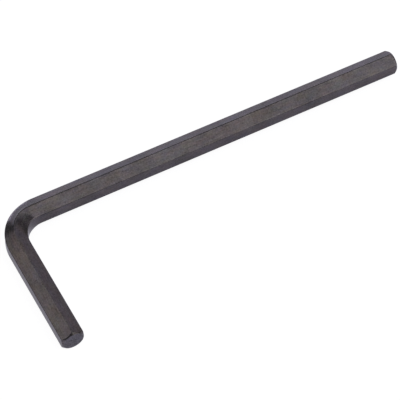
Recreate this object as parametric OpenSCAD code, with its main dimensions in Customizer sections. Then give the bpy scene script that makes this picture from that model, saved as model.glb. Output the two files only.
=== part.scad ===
// Hex key: one bar of hexagon steel, bent once into a long and a short arm.
//
// It lies on the rounded corner edge that runs all along its underside. The long
// arm points along +X and the short arm along -Y. The origin is the middle of its
// box, on the surface that it lies on.
//
// A section of the bar is a list of points [out, up]. Out points away from the
// middle of the bend, and up is square to both arms.

/* [Bar] */
// Width of the bar across its flats, which is the size of the socket it turns
across_flats = 4; // [2:0.1:8]
// Radius that rounds the six long corners of the bar
corner_r = 0.3; // [0.1:0.05:0.8]

/* [Arms] */
// Length of the long arm, from the outer flat of the short arm to the tip
long_arm = 80; // [40:1:220]
// Length of the short arm, from the outer flat of the long arm to the tip
short_arm = 28.2; // [20:0.2:80]

/* [Bend] */
// Radius of the inner flat in the bend
inner_bend_r = 4; // [2:0.25:8]
// Share of the squeeze and stretch along the bar that turns into its height
height_flow = 0.65; // [0:0.05:1]
// How far the top and bottom corners lag outward in the bend
crown_lag = 0.55; // [0:0.05:0.8]
// Angle from the long arm at which the section has changed the most
peak_angle = 37; // [15:1:75]

/* [Tips] */
// Length of the tip's chamfer, measured along the flats
tip_chamfer = 0.14; // [0.05:0.01:0.5]
// Slope of the chamfer against the arm
chamfer_angle = 42; // [30:1:75]

/* [Hidden] */

// A key turns through a right angle
turn = 90;
// Sides of the bar, and the angle between them
sides = 6;
side_angle = 360 / sides;
// Facets in each rounded corner, rings in the bend, and strips across each of its flats
corner_steps = 4;
bend_steps = 36;
strip_steps = 4;
// Segments of the round blank that chamfers a tip
blank_fn = 96;

half_flat = across_flats / 2;
hex_r = half_flat / cos(side_angle / 2);
// Middle of a rounded corner, and the corner's top, from the bar's axis
corner_pos = hex_r - corner_r / cos(side_angle / 2);
crown_r = corner_pos + corner_r;
// Radius of the bar's axis in the bend
axis_bend_r = inner_bend_r + half_flat;
// Length of each arm's straight stretch
long_straight = long_arm - half_flat - axis_bend_r;
short_straight = short_arm - half_flat - axis_bend_r;
// Where the axes of the two arms would cross
axis_corner = [half_flat - long_arm / 2, short_arm / 2 - half_flat, crown_r];

// A point of the rounded corner at the far end of a side
function corner_point(side, step) =
    let (corner_dir = (side + 0.5) * side_angle,
         arc_dir = (side + step / corner_steps) * side_angle)
    [corner_pos * cos(corner_dir) + corner_r * cos(arc_dir),
     corner_pos * sin(corner_dir) + corner_r * sin(arc_dir)];

// A hexagon with a flat on the inside and outside of the bend, its corners rounded and
// its flats cut into a number of strips
function bar_section(strips) = [
    for (side = [0 : sides - 1])
        each concat(
            [for (step = [0 : corner_steps]) corner_point(side, step)],
            [for (strip = [1 : 1 : strips - 1])
                let (part = strip / strips)
                (1 - part) * corner_point(side, corner_steps) + part * corner_point(side + 1, 0)])
];
arm_section = bar_section(1);
bend_section = bar_section(strip_steps);
section_n = len(bend_section);

// 0 where an arm meets the bend, 1 at peak_angle, level at all three
function change(angle) =
    let (part_way = angle < peak_angle
        ? angle / peak_angle
        : 1 + (angle - peak_angle) / (turn - peak_angle))
    pow(sin(90 * part_way), 2);

// Bending squeezes the metal on the inside, so the inner flat grows taller and
// the outer one shorter, and the corners above and below lag outward. Nothing
// rises past the arms' own corners, because the bar is bent between level plates
function bent_point(p, amount) =
    let (fibre_r = axis_bend_r + p[0],
         flowed = p[1] * pow(axis_bend_r / fibre_r, height_flow * amount),
         up = max(-crown_r, min(crown_r, flowed)),
         out = p[0] + amount * crown_lag * pow(p[1] / hex_r, 2))
    [out, up];

// A section's point at an angle round the bend, in the frame of the axis corner
function in_bend(p, angle) =
    let (r = axis_bend_r + p[0])
    [axis_bend_r - r * sin(angle), r * cos(angle) - axis_bend_r, p[1]];

// The whole section there
function bend_ring(angle) = [
    for (p = bend_section) in_bend(bent_point(p, change(angle)), angle)
];

// Round blank of an arm, whose coned end cuts the chamfer across flats and corners
module arm_blank(straight) {
    tip_r = half_flat - tip_chamfer * tan(chamfer_angle);
    cone_start = straight - (hex_r - tip_r) / tan(chamfer_angle);
    rotate_extrude($fn = blank_fn)
        polygon([[0, 0], [hex_r, 0], [hex_r, cone_start], [tip_r, straight], [0, straight]]);
}

// A straight arm along +Z, from the bend to its chamfered tip
module arm(straight) {
    intersection() {
        linear_extrude(straight)
            polygon(arm_section);
        arm_blank(straight);
    }
}

// The bend, lofted through a ring of section points at each step of the turn, and
// closed by a fan of faces from the bar's axis at each end
module bend() {
    rings = [for (i = [0 : bend_steps]) each bend_ring(turn * i / bend_steps)];
    middles = [in_bend([0, 0], 0), in_bend([0, 0], turn)];
    long_middle = len(rings);
    short_middle = long_middle + 1;
    function at(i, j) = i * section_n + j % section_n;
    side_faces = [
        for (i = [0 : bend_steps - 1], j = [0 : section_n - 1])
            each [[at(i, j), at(i, j + 1), at(i + 1, j + 1)],
                  [at(i, j), at(i + 1, j + 1), at(i + 1, j)]]
    ];
    end_faces = [
        for (j = [0 : section_n - 1])
            each [[long_middle, at(0, j + 1), at(0, j)],
                  [short_middle, at(bend_steps, j), at(bend_steps, j + 1)]]
    ];
    polyhedron(concat(rings, middles), concat(side_faces, end_faces));
}

// The whole key: two arms and the bend that joins them, one piece of steel
module hex_key() {
    color([0.33, 0.31, 0.33])
    translate(axis_corner)
    union() {
        translate([axis_bend_r, 0, 0])
            rotate([90, 0, 90])
            arm(long_straight);
        translate([0, -axis_bend_r, 0])
            rotate([90, 0, 0])
            arm(short_straight);
        bend();
    }
}

hex_key();
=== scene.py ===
# A hex key of black oxide steel, lying on a white table and seen from above.
import math

import bpy
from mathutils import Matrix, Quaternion, Vector


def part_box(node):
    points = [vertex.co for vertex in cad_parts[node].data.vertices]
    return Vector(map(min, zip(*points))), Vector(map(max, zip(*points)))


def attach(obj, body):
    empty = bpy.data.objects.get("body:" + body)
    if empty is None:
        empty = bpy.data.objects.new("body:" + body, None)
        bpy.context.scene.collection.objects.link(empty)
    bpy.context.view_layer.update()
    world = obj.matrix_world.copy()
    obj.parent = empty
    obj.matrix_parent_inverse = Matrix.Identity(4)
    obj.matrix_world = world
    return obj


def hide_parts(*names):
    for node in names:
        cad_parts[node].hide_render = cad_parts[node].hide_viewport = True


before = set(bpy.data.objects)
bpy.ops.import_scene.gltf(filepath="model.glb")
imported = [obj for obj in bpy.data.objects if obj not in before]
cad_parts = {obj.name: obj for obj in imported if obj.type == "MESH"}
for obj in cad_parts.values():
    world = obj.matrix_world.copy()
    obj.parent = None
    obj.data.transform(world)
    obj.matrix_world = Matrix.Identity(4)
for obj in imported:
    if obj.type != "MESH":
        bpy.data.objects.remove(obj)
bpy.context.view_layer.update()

# The steel bar. A hex key is one bar of hexagon steel, cut to length, chamfered at both
# tips and bent once round a former. A node tree lays rings of points along it, from the
# long tip to the short one, and squeezes its section where it bends.
across_flats = 0.004
corner_r = 0.0003
inner_bend_r = 0.004

# Share of the squeeze along the bar that turns into height, how far the top and bottom
# corners lag outward, and the angle from the long arm at which both are at their most
height_flow = 0.65
crown_lag = 0.00055
peak_angle = math.radians(37)

# Length of a tip's chamfer along the flats, its slope, and the rounding of its edges
tip_chamfer = 0.00014
chamfer_angle = math.radians(42)
chamfer_blend = 0.00003

low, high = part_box("hex_key")
long_arm = high.x - low.x
short_arm = high.y - low.y
turn = math.radians(90)
sides = 6
side_angle = math.tau / sides

# Rings on a tip's end face, on its chamfer, and on each stretch of the bar
face_rings = 6
chamfer_rings = 12
long_rings = 160
bend_rings = 72
short_rings = 48
# The chamfer's rings reach a little past its cone
chamfer_reach = 1.05

# Steps across each flat and round each rounded corner
flat_steps = 10
corner_steps = 6

# Points nearer than this become one, along the seam and in the middle of the end faces
weld_distance = 0.000002
# Edges that turn more than this are shaded crisp
crisp_angle = math.radians(30)


class Term:
    """A number inside a node tree, on which plain arithmetic adds Math nodes."""

    def __init__(self, tree, socket):
        self.tree = tree
        self.socket = socket

    def __add__(self, other):
        return math_node(self.tree, "ADD", self, other)

    def __sub__(self, other):
        return math_node(self.tree, "SUBTRACT", self, other)

    def __mul__(self, other):
        return math_node(self.tree, "MULTIPLY", self, other)

    def __truediv__(self, other):
        return math_node(self.tree, "DIVIDE", self, other)

    def __pow__(self, other):
        return math_node(self.tree, "POWER", self, other)

    def feed(self, socket):
        self.tree.links.new(self.socket, socket)


def math_node(tree, operation, *terms):
    """The result of one Math node. Each of its terms is a Term or a plain number."""
    node = tree.nodes.new("ShaderNodeMath")
    node.operation = operation
    for term, socket in zip(terms, node.inputs):
        if isinstance(term, Term):
            term.feed(socket)
        else:
            socket.default_value = term
    return Term(tree, node.outputs[0])


def ramp(tree, term, first, last, start, end, smooth=False):
    """Goes from start to end while the term goes from first to last, and holds there."""
    node = tree.nodes.new("ShaderNodeMapRange")
    node.interpolation_type = "SMOOTHSTEP" if smooth else "LINEAR"
    node.clamp = True
    term.feed(node.inputs["Value"])
    limits = (("From Min", first), ("From Max", last), ("To Min", start), ("To Max", end))
    for name, number in limits:
        if isinstance(number, Term):
            number.feed(node.inputs[name])
        else:
            node.inputs[name].default_value = number
    return Term(tree, node.outputs["Result"])


def three_ways(tree, place):
    """A place's X, Y and Z."""
    node = tree.nodes.new("ShaderNodeSeparateXYZ")
    tree.links.new(place, node.inputs[0])
    return [Term(tree, way) for way in node.outputs]


def place_at(tree, x, y, z):
    """The place that lies at X, Y and Z."""
    node = tree.nodes.new("ShaderNodeCombineXYZ")
    for way, socket in zip((x, y, z), node.inputs):
        way.feed(socket)
    return node.outputs[0]


def bar_tree(material):
    """The node tree that lays the whole bar as one closed mesh."""
    tree = bpy.data.node_groups.new("bent_hexagon_bar", "GeometryNodeTree")
    sizes = ("Across Flats", "Corner Radius", "Long Arm", "Short Arm", "Inner Bend Radius",
             "Height Flow", "Crown Lag", "Peak Angle",
             "Tip Chamfer", "Chamfer Angle", "Chamfer Blend")
    for size in sizes:
        tree.interface.new_socket(name=size, in_out="INPUT", socket_type="NodeSocketFloat")
    tree.interface.new_socket(name="Axis Corner", in_out="INPUT", socket_type="NodeSocketVector")
    tree.interface.new_socket(name="Bar", in_out="OUTPUT", socket_type="NodeSocketGeometry")
    given = tree.nodes.new("NodeGroupInput")

    def value(name):
        return Term(tree, given.outputs[name])

    def calc(operation, *terms):
        return math_node(tree, operation, *terms)

    # A grid of points: rings of the bar along its X, steps round a ring along its Y
    ring_total = 2 * (face_rings + chamfer_rings) + long_rings + bend_rings + short_rings
    round_total = sides * (flat_steps + corner_steps)
    grid = tree.nodes.new("GeometryNodeMeshGrid")
    grid.inputs["Size X"].default_value = ring_total
    grid.inputs["Size Y"].default_value = sides
    grid.inputs["Vertices X"].default_value = ring_total + 1
    grid.inputs["Vertices Y"].default_value = round_total + 1
    grid_place = tree.nodes.new("GeometryNodeInputPosition")
    grid_x, grid_y, _ = three_ways(tree, grid_place.outputs[0])
    ring = grid_x + ring_total / 2
    round_part = grid_y + sides / 2

    # Sizes that follow from the ones given
    half_flat = value("Across Flats") * 0.5
    hex_r = half_flat * (1 / math.cos(side_angle / 2))
    core = half_flat - value("Corner Radius")
    crown_r = core * (1 / math.cos(side_angle / 2)) + value("Corner Radius")
    axis_bend_r = value("Inner Bend Radius") + half_flat
    chamfer_slope = calc("TANGENT", value("Chamfer Angle"))
    tip_r = half_flat - value("Tip Chamfer") * chamfer_slope
    chamfer_length = (hex_r - tip_r) / chamfer_slope * chamfer_reach
    long_straight = value("Long Arm") - half_flat - axis_bend_r
    short_straight = value("Short Arm") - half_flat - axis_bend_r

    # Where a ring lies along the bar
    long_face = face_rings
    long_chamfer = long_face + chamfer_rings
    long_end = long_chamfer + long_rings
    bend_end = long_end + bend_rings
    short_end = bend_end + short_rings
    short_chamfer = short_end + chamfer_rings
    from_long_tip = (ramp(tree, ring, long_face, long_chamfer, 0, chamfer_length)
                     + ramp(tree, ring, long_chamfer, long_end,
                            0, long_straight - chamfer_length))
    past_bend = (ramp(tree, ring, bend_end, short_end, 0, short_straight - chamfer_length)
                 + ramp(tree, ring, short_end, short_chamfer, 0, chamfer_length))
    bend_angle = ramp(tree, ring, long_end, bend_end, 0, turn)
    before_bend = long_straight - from_long_tip
    along = from_long_tip + bend_angle * axis_bend_r + past_bend

    # The hexagon section with its corners rounded, as points out from the bend and up.
    # Points lie closer together towards the edges of a flat
    side = calc("FLOOR", round_part)
    side_part = round_part - side
    flat_share = flat_steps / (flat_steps + corner_steps)
    flat_part = ramp(tree, side_part, 0, flat_share, 0, math.pi)
    corner_turn = ramp(tree, side_part, flat_share, 1, 0, side_angle)
    side_dir = side * side_angle
    corner_dir = side_dir + corner_turn
    sideways = calc("COSINE", flat_part) * core * -math.tan(side_angle / 2)
    hex_out = (calc("COSINE", side_dir) * core - calc("SINE", side_dir) * sideways
               + calc("COSINE", corner_dir) * value("Corner Radius"))
    hex_up = (calc("SINE", side_dir) * core + calc("COSINE", side_dir) * sideways
              + calc("SINE", corner_dir) * value("Corner Radius"))

    # A cone trims each tip across its flats and corners, and closes its end face
    from_tip = calc("MINIMUM", from_long_tip, short_straight - past_bend)
    face_part = calc("MINIMUM", ramp(tree, ring, 0, long_face, 0, 1),
                     ramp(tree, ring, short_chamfer, ring_total, 1, 0))
    cone_r = tip_r * face_part + from_tip * chamfer_slope
    section_r = calc("SQRT", hex_out * hex_out + hex_up * hex_up)
    trim = calc("SMOOTH_MIN", section_r, cone_r, value("Chamfer Blend")) / section_r
    cut_out = hex_out * trim
    cut_up = hex_up * trim

    # The bend squeezes the inner flat taller, and the top and bottom corners lag outward.
    # Nothing rises past the arms' own corners
    change_part = (calc("MINIMUM", bend_angle / value("Peak Angle"), 1.0)
                   + calc("MAXIMUM", (bend_angle - value("Peak Angle"))
                          / calc("SUBTRACT", turn, value("Peak Angle")), 0.0))
    change = calc("SINE", change_part * (math.pi / 2)) ** 2.0
    squeeze = (axis_bend_r / (axis_bend_r + cut_out)) ** (value("Height Flow") * change)
    bent_up = calc("MAXIMUM", calc("MINIMUM", cut_up * squeeze, crown_r), crown_r * -1.0)
    lag = change * value("Crown Lag") * (cut_up / hex_r) ** 2.0
    bent_out = cut_out + lag

    # The ring's points in the key's own frame
    point_r = axis_bend_r + bent_out
    x = axis_bend_r - point_r * calc("SINE", bend_angle) + before_bend
    y = point_r * calc("COSINE", bend_angle) - axis_bend_r - past_bend
    moved = tree.nodes.new("ShaderNodeVectorMath")
    moved.operation = "ADD"
    tree.links.new(place_at(tree, x, y, bent_up), moved.inputs[0])
    tree.links.new(given.outputs["Axis Corner"], moved.inputs[1])

    # Each point keeps its place in the straight bar and its way from the nearer tip, on
    # which the finish is drawn
    mesh = grid.outputs["Mesh"]
    for name, kind, kept in (("bar_place", "FLOAT_VECTOR", place_at(tree, along, cut_out, cut_up)),
                             ("tip_way", "FLOAT", from_tip.socket)):
        store = tree.nodes.new("GeometryNodeStoreNamedAttribute")
        store.data_type = kind
        store.domain = "POINT"
        store.inputs["Name"].default_value = name
        tree.links.new(mesh, store.inputs["Geometry"])
        tree.links.new(kept, store.inputs["Value"])
        mesh = store.outputs["Geometry"]
    laid = tree.nodes.new("GeometryNodeSetPosition")
    tree.links.new(mesh, laid.inputs["Geometry"])
    tree.links.new(moved.outputs[0], laid.inputs["Position"])
    closed = tree.nodes.new("GeometryNodeMergeByDistance")
    closed.inputs["Distance"].default_value = weld_distance
    tree.links.new(laid.outputs["Geometry"], closed.inputs["Geometry"])

    # Smooth all over, with a crisp edge round each end face
    smooth = tree.nodes.new("GeometryNodeSetShadeSmooth")
    smooth.domain = "FACE"
    tree.links.new(closed.outputs["Geometry"], smooth.inputs["Geometry"])
    edge = tree.nodes.new("GeometryNodeInputMeshEdgeAngle")
    crisp = tree.nodes.new("FunctionNodeCompare")
    crisp.data_type = "FLOAT"
    crisp.operation = "GREATER_THAN"
    crisp.inputs["B"].default_value = crisp_angle
    tree.links.new(edge.outputs["Unsigned Angle"], crisp.inputs["A"])
    creased = tree.nodes.new("GeometryNodeSetShadeSmooth")
    creased.domain = "EDGE"
    creased.inputs["Shade Smooth"].default_value = False
    tree.links.new(smooth.outputs["Geometry"], creased.inputs["Geometry"])
    tree.links.new(crisp.outputs["Result"], creased.inputs["Selection"])
    painted = tree.nodes.new("GeometryNodeSetMaterial")
    painted.inputs["Material"].default_value = material
    tree.links.new(creased.outputs["Geometry"], painted.inputs["Geometry"])
    result = tree.nodes.new("NodeGroupOutput")
    tree.links.new(painted.outputs["Geometry"], result.inputs["Bar"])
    return tree


# The finish is a thin black oxide on the drawn steel. It is satin, clouded in brown, olive
# and violet, and finely grained, with faint lines along the bar, pits, and rubbed corners
# and rims. It is drawn on the straight bar, so its lines follow the bend.
oxide_cool = (0.086, 0.083, 0.099, 1)
oxide_warm = (0.103, 0.084, 0.08, 1)
oxide_rubbed = (0.13, 0.118, 0.125, 1)
olive_tint = (0.98, 1.06, 0.955, 1)
violet_tint = (1.02, 0.945, 1.045, 1)
# How much less warm the oxide is on the end faces
face_cooling = 0.7

# How far each thing takes the oxide from its mean tone
cloud_depth = 0.95
grain_depth = 1.6
line_depth = 1.0
blotch_depth = 2.4
pit_depth = 0.15
face_lift = 0.13

# How dull the oxide is, and how much each thing dulls or polishes it
satin = 0.2
cloud_dulling = 0.12
line_dulling = 0.08
pit_dulling = 0.15
face_dulling = 0.08
rub_polish = 0.04

# Height of the relief in metres, and each thing's share in it
relief_height = 0.000006
grain_relief = 0.3
line_relief = 0.3
pit_relief = 0.4

# Bands over which one look gives way to the next: ways from the tip, ways from the bar's
# axis, then levels of a noise
face_band = (0.000001, 0.000004)
tip_band = (0.00005, 0.0005)
rim_band = (0.0016, 0.0018)
corner_band = (0.00219, 0.00226)
rub_band = (0.44, 0.6)
hue_band = (0.3, 0.7)

# The steel is parted into cells, so many to a metre, and about one cell of eight has a
# pit. The bands are shares of a cell from its middle out, and of all cells
cells_to_metre = 1500
pit_band = (0.12, 0.3)
pitted_band = (0.86, 0.9)


def noise(tree, place, scale, detail, roughness):
    """A noise over the steel, which runs from 0 to 1 and is 0.5 on average."""
    node = tree.nodes.new("ShaderNodeTexNoise")
    node.inputs["Scale"].default_value = scale
    node.inputs["Detail"].default_value = detail
    node.inputs["Roughness"].default_value = roughness
    tree.links.new(place, node.inputs["Vector"])
    return Term(tree, node.outputs[0])


def stretched_noise(tree, place, scales, detail, roughness, shift=(0, 0, 0)):
    """A noise with a scale of its own along the bar, outward and up."""
    node = tree.nodes.new("ShaderNodeMapping")
    node.inputs["Scale"].default_value = scales
    node.inputs["Location"].default_value = shift
    tree.links.new(place, node.inputs["Vector"])
    return noise(tree, node.outputs[0], 1, detail, roughness)


def mixed(tree, share, first, second):
    """A colour between two others."""
    node = tree.nodes.new("ShaderNodeMix")
    node.data_type = "RGBA"
    share.feed(node.inputs["Factor"])
    for name, color in (("A", first), ("B", second)):
        socket = next(entry for entry in node.inputs
                      if entry.name == name and entry.type == "RGBA")
        if isinstance(color, tuple):
            socket.default_value = color
        else:
            tree.links.new(color, socket)
    return next(entry for entry in node.outputs if entry.type == "RGBA")


steel = bpy.data.materials.new("black_oxide_steel")
steel.use_nodes = True
coat = steel.node_tree
shader = coat.nodes["Principled BSDF"]
shader.inputs["Metallic"].default_value = 1.0

attribute = coat.nodes.new("ShaderNodeAttribute")
attribute.attribute_name = "bar_place"
place = attribute.outputs["Vector"]
attribute = coat.nodes.new("ShaderNodeAttribute")
attribute.attribute_name = "tip_way"
tip_way = Term(coat, attribute.outputs["Fac"])
_, out_way, up_way = three_ways(coat, place)
axis_way = math_node(coat, "SQRT", out_way * out_way + up_way * up_way)

# Scales are in patches to a metre, and the shifts keep the browns and violets apart
clouds = noise(coat, place, scale=270, detail=4, roughness=0.62)
browns = stretched_noise(coat, place, scales=(280, 600, 600), detail=5, roughness=0.75,
                         shift=(0.31, 0.17, 0.43))
violets = stretched_noise(coat, place, scales=(430, 900, 900), detail=5, roughness=0.75,
                          shift=(7.3, 2.9, 5.1))
grain = noise(coat, place, scale=3600, detail=4, roughness=0.65)
drawn_lines = stretched_noise(coat, place, scales=(400, 4500, 4500), detail=4, roughness=0.65)
cut_lines = stretched_noise(coat, place, scales=(9000, 1500, 11000), detail=3, roughness=0.55)
blotches = noise(coat, place, scale=1800, detail=3, roughness=0.6)

# The end faces carry the lines of the cut instead of those of the drawing
on_face = ramp(coat, tip_way, *face_band, 1, 0)
lines = drawn_lines + (cut_lines - drawn_lines) * on_face

cells = coat.nodes.new("ShaderNodeTexVoronoi")
cells.inputs["Scale"].default_value = cells_to_metre
coat.links.new(place, cells.inputs["Vector"])
picked = coat.nodes.new("ShaderNodeSeparateColor")
coat.links.new(cells.outputs["Color"], picked.inputs[0])
pits = (ramp(coat, Term(coat, cells.outputs["Distance"]), *pit_band, 1, 0)
        * ramp(coat, Term(coat, picked.outputs[0]), *pitted_band, 0, 1))

# Rubbing follows the rims of the tips, and at half that strength the long corners, where
# the clouds and the grain let it
corner_rub = ramp(coat, axis_way, *corner_band, 0, 1)
tip_rub = ramp(coat, tip_way, *tip_band, 1, 0) * ramp(coat, axis_way, *rim_band, 0, 1)
rub = (math_node(coat, "MAXIMUM", corner_rub * 0.5, tip_rub)
       * ramp(coat, clouds * 0.5 + grain * 0.5, *rub_band, 0, 1))

warmth = ramp(coat, browns, *hue_band, 0, 1) * (on_face * -face_cooling + 1.0)
hue = mixed(coat, warmth, oxide_cool, oxide_warm)
tint = mixed(coat, ramp(coat, violets, *hue_band, 0, 1), olive_tint, violet_tint)
tinted = coat.nodes.new("ShaderNodeVectorMath")
tinted.operation = "MULTIPLY"
coat.links.new(hue, tinted.inputs[0])
coat.links.new(tint, tinted.inputs[1])
worn = mixed(coat, rub, tinted.outputs[0], oxide_rubbed)
tone = ((clouds - 0.5) * cloud_depth + (grain - 0.5) * grain_depth + (lines - 0.5) * line_depth
        + ((blotches - 0.5) * blotch_depth + face_lift) * on_face + pits * -pit_depth + 1.0)
toned = coat.nodes.new("ShaderNodeVectorMath")
toned.operation = "SCALE"
coat.links.new(worn, toned.inputs[0])
tone.feed(toned.inputs["Scale"])
coat.links.new(toned.outputs[0], shader.inputs["Base Color"])

dullness = ((clouds - 0.5) * cloud_dulling + (lines - 0.5) * line_dulling + pits * pit_dulling
            + on_face * face_dulling + rub * -rub_polish + satin)
dullness.feed(shader.inputs["Roughness"])

relief = coat.nodes.new("ShaderNodeBump")
relief.inputs["Strength"].default_value = 1.0
relief.inputs["Distance"].default_value = relief_height
height = grain * grain_relief + lines * line_relief + pits * -pit_relief
height.feed(relief.inputs["Height"])
coat.links.new(relief.outputs["Normal"], shader.inputs["Normal"])

# The tree grows the bar on an empty mesh, and what it grows is kept as a mesh of its own
tree = bar_tree(steel)
seed_mesh = bpy.data.meshes.new("bar_seed")
grower = bpy.data.objects.new("bar_grower", seed_mesh)
bpy.context.scene.collection.objects.link(grower)
layer = grower.modifiers.new("bar", "NODES")
layer.node_group = tree
settings = {
    "Across Flats": across_flats,
    "Corner Radius": corner_r,
    "Long Arm": long_arm,
    "Short Arm": short_arm,
    "Inner Bend Radius": inner_bend_r,
    "Height Flow": height_flow,
    "Crown Lag": crown_lag,
    "Peak Angle": peak_angle,
    "Tip Chamfer": tip_chamfer,
    "Chamfer Angle": chamfer_angle,
    "Chamfer Blend": chamfer_blend,
    "Axis Corner": (low.x + across_flats / 2, high.y - across_flats / 2, (low.z + high.z) / 2),
}
for item in tree.interface.items_tree:
    if item.in_out == "INPUT":
        layer[item.identifier] = settings[item.name]
depsgraph = bpy.context.evaluated_depsgraph_get()
bar_mesh = bpy.data.meshes.new_from_object(grower.evaluated_get(depsgraph))
bar_mesh.name = "bent_bar"
bpy.data.objects.remove(grower)
key = bpy.data.objects.new("bent_bar", bar_mesh)
bpy.context.scene.collection.objects.link(key)
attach(key, "root")
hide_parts("hex_key")

# The table is a wide flat sheet of white paper under the key. Part of its light is a glow
# of its own, white to the camera and dimmer to the steel. The rest is the lamps' light on
# it, so it keeps the key's shadow.
table_half = 1.5
table_color = (0.92, 0.9, 0.99, 1)
white = (1, 1, 1, 1)
glow_level = 1.17
glow_color = (0.97, 0.96, 1.12, 1)
glow_seen = 0.8
glow_in_steel = 0.292


def rays(tree):
    """Whether the camera looks, and whether a metal or glass surface does."""
    path = tree.nodes.new("ShaderNodeLightPath")
    by_camera = Term(tree, path.outputs["Is Camera Ray"])
    mirrored = math_node(tree, "MAXIMUM", Term(tree, path.outputs["Is Glossy Ray"]),
                         Term(tree, path.outputs["Is Transmission Ray"]))
    return by_camera, mirrored


sheet = bpy.data.meshes.new("table")
sheet.from_pydata([(-table_half, -table_half, 0), (table_half, -table_half, 0),
                   (table_half, table_half, 0), (-table_half, table_half, 0)],
                  [], [(0, 1, 2, 3)])
table = bpy.data.objects.new("table", sheet)
bpy.context.scene.collection.objects.link(table)
paper = bpy.data.materials.new("table_paper")
paper.use_nodes = True
nodes = paper.node_tree.nodes
links = paper.node_tree.links
nodes.clear()
lit = nodes.new("ShaderNodeBsdfDiffuse")
lit.inputs["Color"].default_value = table_color
glow = nodes.new("ShaderNodeEmission")
glow.inputs["Strength"].default_value = glow_level
by_camera, mirrored = rays(paper.node_tree)
links.new(mixed(paper.node_tree, by_camera, glow_color, white), glow.inputs["Color"])
mix = nodes.new("ShaderNodeMixShader")
(by_camera * glow_seen + mirrored * glow_in_steel).feed(mix.inputs[0])
links.new(lit.outputs[0], mix.inputs[1])
links.new(glow.outputs[0], mix.inputs[2])
surface = nodes.new("ShaderNodeOutputMaterial")
links.new(mix.outputs[0], surface.inputs["Surface"])
sheet.materials.append(paper)

# The light comes from soft boxes at the front right, at the back left and overhead, and
# from pale screens behind and on the right. A core makes the middle of a box brighter.
# The room round them is white to the camera and dim to the key.
box_distance = 1.2
# Power in watts to a square metre at which a lamp looks white
white_power = 4
room_level = 0.15
room_in_steel = 0.2
ceiling_level = 0.5
# How steeply a way leads up where the lighter ceiling begins, and where it is full
ceiling_band = (0.8, 0.98)


def screen(name, azimuth, elevation, wide, tall, level, color):
    """A flat oblong lamp facing the key, with its sizes as angles in degrees. Azimuth 0 is
    in front and 90 on the right."""
    lamp = bpy.data.lights.new(name, "AREA")
    lamp.shape = "RECTANGLE"
    lamp.size = 2 * box_distance * math.tan(math.radians(wide / 2))
    lamp.size_y = 2 * box_distance * math.tan(math.radians(tall / 2))
    lamp.energy = white_power * lamp.size * lamp.size_y * level
    lamp.color = color
    box = bpy.data.objects.new(name, lamp)
    turned = math.radians(azimuth)
    raised = math.radians(elevation)
    toward = Vector((math.sin(turned) * math.cos(raised),
                     -math.cos(turned) * math.cos(raised), math.sin(raised)))
    box.location = toward * box_distance
    box.rotation_mode = "QUATERNION"
    box.rotation_quaternion = toward.to_track_quat("Z", "Y")
    bpy.context.scene.collection.objects.link(box)


screen("front_box", azimuth=40, elevation=41, wide=50, tall=68,
       level=0.74, color=(0.975, 0.98, 0.95))
screen("front_core", azimuth=44, elevation=44, wide=30, tall=22,
       level=0.13, color=(0.98, 0.975, 0.95))
screen("left_box", azimuth=-122, elevation=38, wide=54, tall=42,
       level=0.455, color=(1, 0.955, 0.9))
screen("left_core", azimuth=-115, elevation=38, wide=30, tall=36,
       level=0.15, color=(1, 0.945, 0.85))
screen("top_wing", azimuth=105, elevation=68, wide=13, tall=13,
       level=0.5, color=(0.98, 1, 0.97))
screen("back_top", azimuth=165, elevation=62, wide=50, tall=30,
       level=0.27, color=(0.98, 0.99, 1))
screen("back_screen", azimuth=171, elevation=2.5, wide=48, tall=5,
       level=1.1, color=(0.97, 0.965, 1.17))
screen("back_glow", azimuth=184, elevation=2, wide=20, tall=4,
       level=2.2, color=(0.97, 0.95, 1.2))
screen("side_screen", azimuth=124, elevation=22, wide=35, tall=54,
       level=0.345, color=(1.0, 0.925, 1.03))

world = bpy.data.worlds.new("room")
bpy.context.scene.world = world
world.use_nodes = True
room = world.node_tree.nodes["Background"]
room.inputs["Color"].default_value = white
direction = world.node_tree.nodes.new("ShaderNodeTexCoord")
_, _, upward = three_ways(world.node_tree, direction.outputs["Generated"])
ceiling = ramp(world.node_tree, upward, *ceiling_band, room_level, ceiling_level, smooth=True)
by_camera, mirrored = rays(world.node_tree)
room_strength = math_node(world.node_tree, "MAXIMUM", ceiling,
                          by_camera + mirrored * room_in_steel)
room_strength.feed(room.inputs["Strength"])

# The camera looks down at the key from the front left, from a third of a metre away
# through a long lens.
aim = Vector((-0.00599, 0.00112, 0.00225))
view_azimuth = math.radians(-31.1)
view_elevation = math.radians(55.12)
view_roll = math.radians(3.03)
view_distance = 0.33175
lens = 172.35

backward = Vector((math.sin(view_azimuth) * math.cos(view_elevation),
                   -math.cos(view_azimuth) * math.cos(view_elevation),
                   math.sin(view_elevation)))
camera_data = bpy.data.cameras.new("camera")
camera_data.lens = lens
camera_data.sensor_width = 36
camera_data.clip_start = 0.01
camera_data.clip_end = 10
camera = bpy.data.objects.new("camera", camera_data)
camera.location = aim + backward * view_distance
camera.rotation_mode = "QUATERNION"
camera.rotation_quaternion = ((-backward).to_track_quat("-Z", "Y")
                              @ Quaternion((0, 0, 1), view_roll))
bpy.context.scene.collection.objects.link(camera)
bpy.context.scene.camera = camera
bpy.context.scene.view_settings.view_transform = "Standard"
